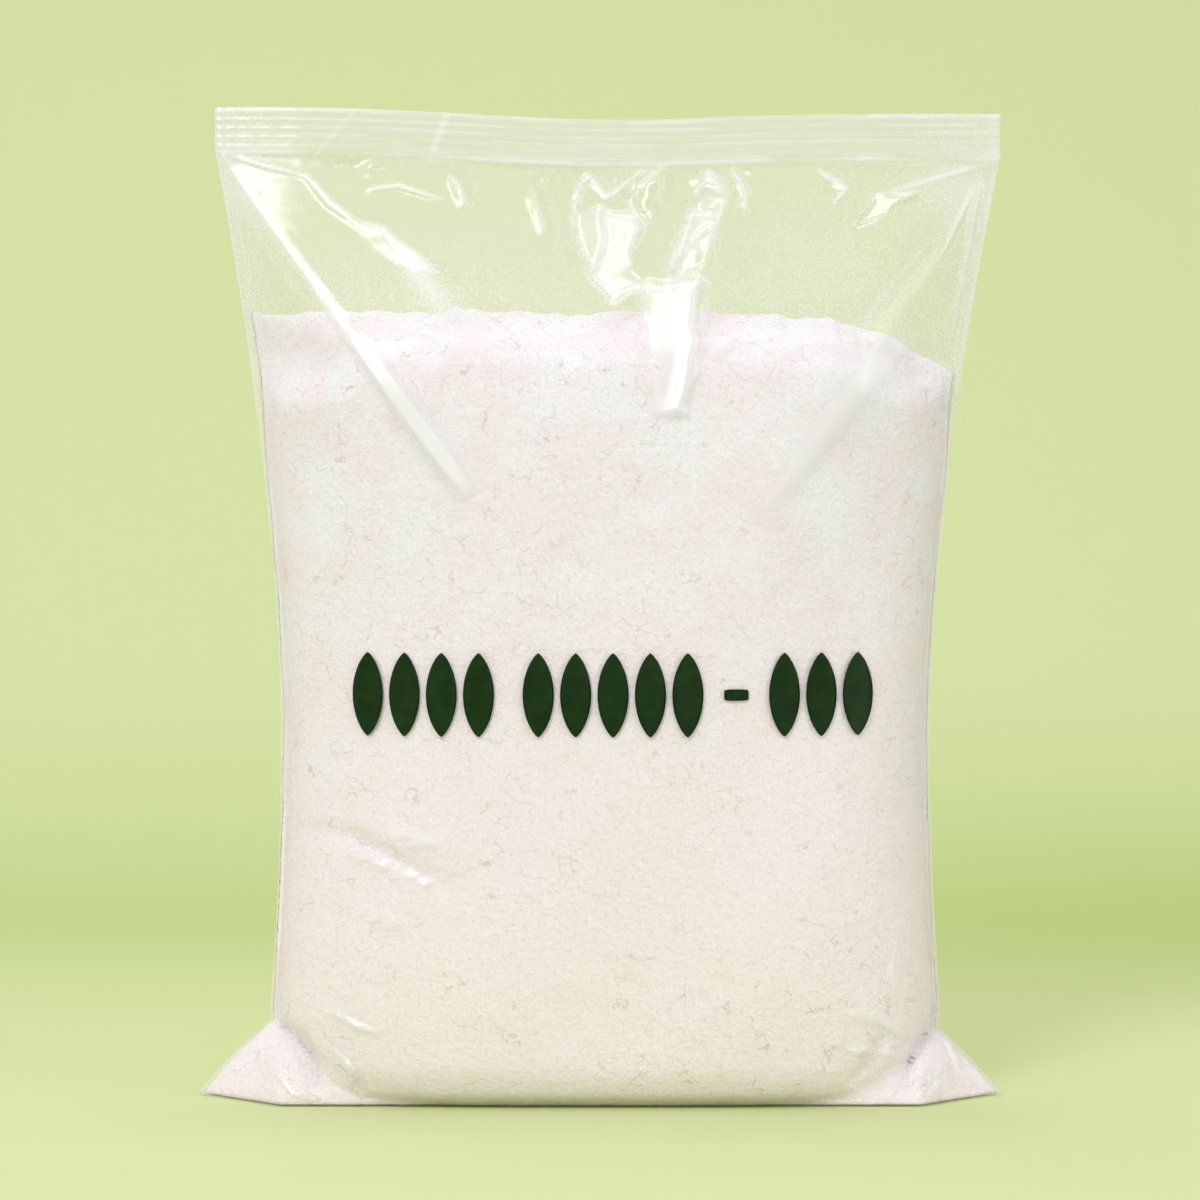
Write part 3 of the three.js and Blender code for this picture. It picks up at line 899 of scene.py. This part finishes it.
# Sets of cracks, drawn as painted shade: cells to a metre, width in cells, how much is left out, and
# depth, as how dark the shade is.
CRACK_SETS = (
    (105.0, 0.028, 0.49, 1.0),
    (240.0, 0.045, 0.54, 0.6),
)
# How the cracks are bent: bends to a metre, and how far each reaches in metres.
CRACK_BENDS = ((90.0, 0.010), (420.0, 0.0030))


def flour_crack_shade(n, place, flat):
    """Painted shade in short bent cracks between crumbs, darkest where the flour is crumbly."""
    bent = flat
    for cells, reach in CRACK_BENDS:
        warp_inputs = {"Vector": flat, "Scale": cells, "Detail": 1.0}
        warp = n.add("ShaderNodeTexNoise", warp_inputs).outputs["Color"]
        shift = n.vector("SUBTRACT", {0: warp, 1: (0.5, 0.5, 0.5)})
        bent = n.vector("ADD", {0: bent, 1: n.vector("SCALE", {0: shift, "Scale": reach})})
    painted_crack_shade = 0.0
    for cells, width, low, share in CRACK_SETS:
        cell_inputs = {"Vector": bent, "Scale": cells}
        cell = n.add("ShaderNodeTexVoronoi", cell_inputs, feature="DISTANCE_TO_EDGE")
        broken = n.span(n.noise(flat, 1.8 * cells, 1.0), low, low + 0.10)
        line = n.math("MULTIPLY", n.span(cell.outputs["Distance"], 0.0, width, share, 0.0), broken)
        painted_crack_shade = n.math("MAXIMUM", painted_crack_shade, line)
    crumbly = n.span(n.noise(place, 30.0, 1.0), 0.36, 0.58, 0.2, 1.0)
    return n.math("MULTIPLY", painted_crack_shade, crumbly)


def flour_material():
    """Matt packed flour: pale and pinkish patches, fine grains, painted shade in the cracks between
    crumbs and in small pits, and painted light and shade from top to bottom.
    """
    n = Nodes("flour")
    place = n.place()
    flat = n.vector("MULTIPLY", {0: place, 1: (1.0, 1.0, CRUMB_FLATNESS)})
    painted_crack_shade = flour_crack_shade(n, place, flat)
    painted_pit_shade = n.math("MULTIPLY", n.span(n.noise(place, 800.0, 1.0), 0.66, 0.74), PIT_PAINTED_SHADE)
    painted_hollow_shade = n.math("MAXIMUM", painted_crack_shade, painted_pit_shade)
    patches = n.span(n.noise(flat, 48.0, 3.0, 0.65), 0.38, 0.62)
    height = n.add("ShaderNodeSeparateXYZ", {"Vector": place}).outputs["Z"]
    # Painted light and shade: the flour's colour runs from the darker low colour to the lighter high
    # colour with height.
    white = n.mix_colour(n.span(height, 0.05, 0.16), FLOUR_LOW_PAINTED_SHADE, FLOUR_TOP_PAINTED_LIGHT)
    base = n.mix_colour(n.math("MULTIPLY", patches, PINK_SHARE), white, FLOUR_PINK)
    grain = n.span(n.noise(place, 1300.0, 1.0, 0.6), 0.35, 0.7, 0.0, GRAIN_SHADE)
    # Grains are the flour's own tone; the cracks and pits are painted shade.
    shade = n.math("MAXIMUM", grain, n.math("MULTIPLY", painted_hollow_shade, CRACK_SHADE))
    colour = n.mix_colour(shade, base, CRACK_PAINTED_SHADE_COLOUR)
    clumps = n.math("MULTIPLY", n.noise(place, 520.0, 3.0, 0.75), CLUMP_HEIGHT)
    bump = n.add("ShaderNodeBump", {"Height": clumps, "Distance": 1.0, "Strength": 0.75}).outputs[0]
    skin = n.add("ShaderNodeBsdfPrincipled", {
        "Base Color": colour,
        "Roughness": 0.95,
        "Specular IOR Level": 0.1,
        "Normal": bump,
    })
    return n.finish(skin.outputs[0])


# The film's milky veil: where it is loose, where it clings, what dust adds, and its chalky share.
LOOSE_MILK = 0.19
CLINGING_MILK = 0.10
DUST_MILK = 0.24
CHALK_SHARE = 0.75
# Its gloss: seen straight on, what a glancing view adds, and the share left where it clings.
MIRROR_FACING = 0.042
MIRROR_GLANCING = 0.9
CLINGING_MIRROR = 0.5
LOOSE_ROUGHNESS = 0.16
CLINGING_ROUGHNESS = 0.38
RIPPLE_HEIGHT = 0.0004


def film_material():
    """Clear glossy film: mirror-like folds, a faint milky veil with whitening that is partly painted
    highlight, and flour dust on its inside.
    """
    n = Nodes("film")
    place = n.place()
    cling = n.attribute("cling")
    speck = n.span(n.noise(place, 1500.0, 1.0, 0.7), 0.54, 0.66)
    dust = n.math("MULTIPLY", n.attribute("dust"), speck)
    dust = n.math("MULTIPLY", dust, n.math("SUBTRACT", 1.0, cling))
    veil = n.span(cling, 0.0, 1.0, LOOSE_MILK, CLINGING_MILK)
    veil = n.math("ADD", veil, n.math("MULTIPLY", dust, DUST_MILK))
    # The whitening kept at the points is partly painted highlight.
    veil = n.math("ADD", veil, n.attribute("haze_and_painted_highlight"), clamp=True)
    height = n.math("MULTIPLY", n.noise(place, 220.0, 1.0), RIPPLE_HEIGHT)
    bump = n.add("ShaderNodeBump", {"Height": height, "Distance": 1.0, "Strength": 0.4}).outputs[0]
    facing = n.add("ShaderNodeLayerWeight", {"Blend": 0.5, "Normal": bump}).outputs["Facing"]
    glancing = n.math("MULTIPLY", MIRROR_GLANCING, n.math("POWER", facing, 5.0))
    mirror = n.math("ADD", MIRROR_FACING, glancing)
    strength = n.math("MULTIPLY", mirror, n.span(cling, 0.0, 1.0, 1.0, CLINGING_MIRROR))
    clear = n.add("ShaderNodeBsdfTransparent", {"Color": (0.99, 0.99, 0.985, 1)}).outputs[0]
    milk = n.add("ShaderNodeBsdfTranslucent", {"Color": (0.95, 0.95, 0.94, 1)}).outputs[0]
    chalk = n.add("ShaderNodeBsdfDiffuse", {"Color": (1.0, 0.995, 0.98, 1)}).outputs[0]
    body = n.mix_shader(veil, clear, n.mix_shader(CHALK_SHARE, milk, chalk))
    roughness = n.span(cling, 0.0, 1.0, LOOSE_ROUGHNESS, CLINGING_ROUGHNESS)
    shine = n.add("ShaderNodeBsdfGlossy", {"Roughness": roughness, "Normal": bump}).outputs[0]
    return n.finish(n.mix_shader(strength, body, shine))


def print_material():
    """Dark green ink, a little uneven in its cover."""
    n = Nodes("ink")
    place = n.place()
    patch = n.span(n.noise(place, 260.0, 3.0, 0.6), 0.35, 0.7)
    colour = n.mix_colour(patch, INK_DARK, INK_PALE)
    wear = n.span(n.noise(place, 900.0, 2.0), 0.3, 0.8, 0.28, 0.4)
    skin = n.add("ShaderNodeBsdfPrincipled", {
        "Base Color": colour,
        "Roughness": wear,
        "Specular IOR Level": 0.15,
    })
    return n.finish(skin.outputs[0])


# The print: three groups of upright grain shapes, with a short bar before the last group.
PRINT_LOW_Z = 91.5
PRINT_HIGH_Z = 112.0
PRINT_LEFT = -61.5
PRINT_RIGHT = 71.5
GRAIN_GROUPS = (4, 5, 3)
GRAIN_HALF_WIDTH = 3.8
BAR_HALF_WIDTH = 3.0
BAR_HALF_HEIGHT = 1.4
INK_LIFT = 0.12
# Free space after a group, and the room that the bar takes, in grain spacings.
GROUP_SPACE = 0.6
BAR_SPACE = 1.6
PRINT_SPACINGS = 14.6
INK_DARK = (0.006, 0.026, 0.003, 1)
INK_PALE = (0.010, 0.036, 0.005, 1)


def printed_shape(name, middle_x, middle_z, half_width, half_height, squareness, fullness):
    """A thin plate of ink on the front panel: a grain with pointed ends, or a bar."""
    t = np.sin(math.pi / 2 * np.linspace(-1, 1, 40))[:, None]
    s = np.linspace(-1, 1, 9)[None, :]
    x = middle_x + half_width * (1 - np.abs(t) ** squareness) ** fullness * s
    z = middle_z + half_height * t + 0 * s
    surface = -film_half_depth(x, z, FRONT) + spine(x, z)
    under = np.stack([x, surface - INK_LIFT * 0.4, z - hang(x, z)], axis=-1)
    over = np.stack([x, surface - INK_LIFT, z - hang(x, z)], axis=-1)
    for edge in (0, -1):
        under[:, edge] = over[:, edge] = (under[:, edge] + over[:, edge]) / 2
    return closed_mesh(name, over, under)


def print_pieces():
    middle_z = (PRINT_LOW_Z + PRINT_HIGH_Z) / 2
    half_height = (PRINT_HIGH_Z - PRINT_LOW_Z) / 2
    pitch = (PRINT_RIGHT - PRINT_LEFT) / PRINT_SPACINGS
    x = PRINT_LEFT + pitch * 0.5
    pieces = []
    for group, count in enumerate(GRAIN_GROUPS):
        for _ in range(count):
            name = f"print_{len(pieces)}"
            pieces.append(printed_shape(name, x, middle_z, GRAIN_HALF_WIDTH, half_height, 2.0, 0.75))
            x += pitch
        if group == 1:
            bar = (x + pitch * 0.3, middle_z, BAR_HALF_WIDTH, BAR_HALF_HEIGHT)
            pieces.append(printed_shape("print_dash", *bar, 8.0, 0.25))
        x += pitch * (BAR_SPACE if group == 1 else GROUP_SPACE)
    return pieces


# The camera and the stage, in metres.
FRAME_WIDTH = 0.300
SENSOR = 36.0
AIM = Vector((0.0, 0.0, 0.124))
STAGE_GREEN = (0.635, 0.71, 0.368, 1)
# The deeper green is painted shade in the bend, and on the right a painted shadow of the bag.
BEND_PAINTED_SHADE = (0.485, 0.60, 0.22, 1)
STAGE_HALF_WIDTH = 0.9
FLOOR_FRONT = -0.30
FLOOR_BACK = 0.42
WALL_CURVE = 0.85
WALL_TOP = 1.4
FLOOR_DROP = 0.0003
# Where the painted shade of the bend starts and ends from front to back, and where it is weaker.
BEND_START = 0.10
BEND_END = 0.78
BEND_LEFT = -0.15
BEND_RIGHT = 0.30
LEFT_PAINTED_SHADE_SHARE = 0.62


def add_camera():
    data = bpy.data.cameras.new("camera")
    data.sensor_width = SENSOR
    data.lens = SENSOR * -CAMERA_PLACE[1] / FRAME_WIDTH
    camera = bpy.data.objects.new("camera", data)
    bpy.context.scene.collection.objects.link(camera)
    camera.location = CAMERA_PLACE
    camera.rotation_euler = (AIM - camera.location).to_track_quat("-Z", "Y").to_euler()
    bpy.context.scene.camera = camera


def add_stage():
    """A pale floor that curves up, well behind the bag, into a pale wall."""
    profile = [(FLOOR_FRONT, 0.0), (FLOOR_BACK, 0.0)]
    for angle in np.linspace(0.1, math.pi / 2, 16):
        back = FLOOR_BACK + WALL_CURVE * math.sin(angle)
        profile.append((back, WALL_CURVE - WALL_CURVE * math.cos(angle)))
    profile.append((FLOOR_BACK + WALL_CURVE, WALL_TOP))
    sides = (-STAGE_HALF_WIDTH, STAGE_HALF_WIDTH)
    points = [(x, y, z - FLOOR_DROP) for y, z in profile for x in sides]
    faces = [(2 * i, 2 * i + 1, 2 * i + 3, 2 * i + 2) for i in range(len(profile) - 1)]
    stage = smooth_piece("stage", points, faces)
    stage.data.materials.append(stage_material())


def stage_material():
    """Pale green, with painted shade where the floor bends up into the wall: weaker on the left, and
    stronger on the right as a painted shadow of the bag.
    """
    n = Nodes("stage")
    place = n.add("ShaderNodeSeparateXYZ", {"Vector": n.place()})
    across, back = place.outputs["X"], place.outputs["Y"]
    # Painted shade: deeper green in the bend, weaker on the left.
    rise = n.span(back, BEND_START, FLOOR_BACK)
    bend = n.math("MULTIPLY", rise, n.span(back, FLOOR_BACK, BEND_END, 1.0, 0.0))
    bend = n.math("MULTIPLY", bend, n.span(across, BEND_LEFT, BEND_RIGHT, LEFT_PAINTED_SHADE_SHARE, 1.0))
    colour = n.mix_colour(bend, STAGE_GREEN, BEND_PAINTED_SHADE)
    return n.finish(n.add("ShaderNodeBsdfDiffuse", {"Color": colour}).outputs[0])


# Name, place, aim, size and power of each light.
LIGHTS = [
    ("key", KEY_PLACE, (0, 0, 0.13), (0.48, 0.62), 9.0),
    ("right_strip", (1.3, -0.75, 0.5), (0, 0, 0.13), (0.5, 1.0), 2.2),
    ("overhead", (0.05, 0.24, 1.5), (0, 0, 0.1), (0.6, 0.4), 3.6),
    ("wall_light", (-0.45, 0.55, 1.2), (-0.35, 1.2, 0.35), (1.0, 0.3), 0.85),
]


def add_light(name, place, aim, size, power):
    data = bpy.data.lights.new(name, "AREA")
    data.shape = "RECTANGLE"
    data.size, data.size_y = size
    data.energy = power
    light = bpy.data.objects.new(name, data)
    bpy.context.scene.collection.objects.link(light)
    light.location = place
    light.rotation_euler = (Vector(aim) - Vector(place)).to_track_quat("-Z", "Y").to_euler()


# The light from all round: its strength, white, darkest and lightest shade, and tint from below.
ROOM_STRENGTH = 0.72
ROOM_WHITE = (1.0, 0.99, 1.03)
ROOM_SHADES = (0.32, 1.68)
FLOOR_BOUNCE = (0.36, 0.34, 0.28, 1)
ROOM_PATCH_SCALE = 2.2
ROOM_PATCH_EDGES = (0.4, 0.6)
FLOOR_BOUNCE_HEIGHTS = (-0.3, 0.1)


def add_room_light():
    """Soft light from all round, in patches that the folds reflect, with the floor's tint below."""
    world = bpy.data.worlds.new("room")
    bpy.context.scene.world = world
    world.use_nodes = True
    tree = world.node_tree
    light = tree.nodes["Background"]
    light.inputs["Strength"].default_value = ROOM_STRENGTH
    direction = tree.nodes.new("ShaderNodeTexCoord").outputs["Generated"]
    patches = tree.nodes.new("ShaderNodeTexNoise")
    patches.inputs["Scale"].default_value = ROOM_PATCH_SCALE
    patches.inputs["Detail"].default_value = 1.0
    level = tree.nodes.new("ShaderNodeValToRGB")
    level.color_ramp.interpolation = "EASE"
    for stop, at, shade in zip(level.color_ramp.elements, ROOM_PATCH_EDGES, ROOM_SHADES):
        stop.position = at
        stop.color = [shade * part for part in ROOM_WHITE] + [1]
    height = tree.nodes.new("ShaderNodeSeparateXYZ")
    above_floor = tree.nodes.new("ShaderNodeMapRange")
    for edge, level_height in zip(("From Min", "From Max"), FLOOR_BOUNCE_HEIGHTS):
        above_floor.inputs[edge].default_value = level_height
    both = tree.nodes.new("ShaderNodeMix")
    both.data_type = "RGBA"
    both.inputs[6].default_value = FLOOR_BOUNCE
    tree.links.new(direction, patches.inputs["Vector"])
    tree.links.new(direction, height.inputs[0])
    tree.links.new(patches.outputs["Fac"], level.inputs["Fac"])
    tree.links.new(height.outputs["Z"], above_floor.inputs["Value"])
    tree.links.new(above_floor.outputs["Result"], both.inputs[0])
    tree.links.new(level.outputs["Color"], both.inputs[7])
    tree.links.new(both.outputs[2], light.inputs["Color"])


# Rows of points up each panel of film, as (height reached, number of rows).
FRONT_ROWS = ((40, 50), (150, 60), (WELD_Z, 160), (TOP_Z, 34))
BACK_ROWS = ((40, 30), (150, 60), (WELD_Z, 120), (TOP_Z, 30))


def main():
    bpy.context.scene.view_settings.view_transform = "Standard"
    add_camera()
    add_stage()
    for light in LIGHTS:
        add_light(*light)
    add_room_light()
    film_front = film_panel("film_front", FRONT, 320, FRONT_ROWS)
    film_back = film_panel("film_back", BACK, 240, BACK_ROWS)
    clear = film_material()
    for piece in (film_front, film_back):
        piece.data.materials.append(clear)
        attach(piece, "root")
    flour = flour_piece()
    flour.data.materials.append(flour_material())
    ink = print_material()
    for piece in print_pieces():
        piece.data.materials.append(ink)
        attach(piece, "root")
    for piece in (film_front, film_back, flour):
        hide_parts("bag")
    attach(flour, "root")


main()
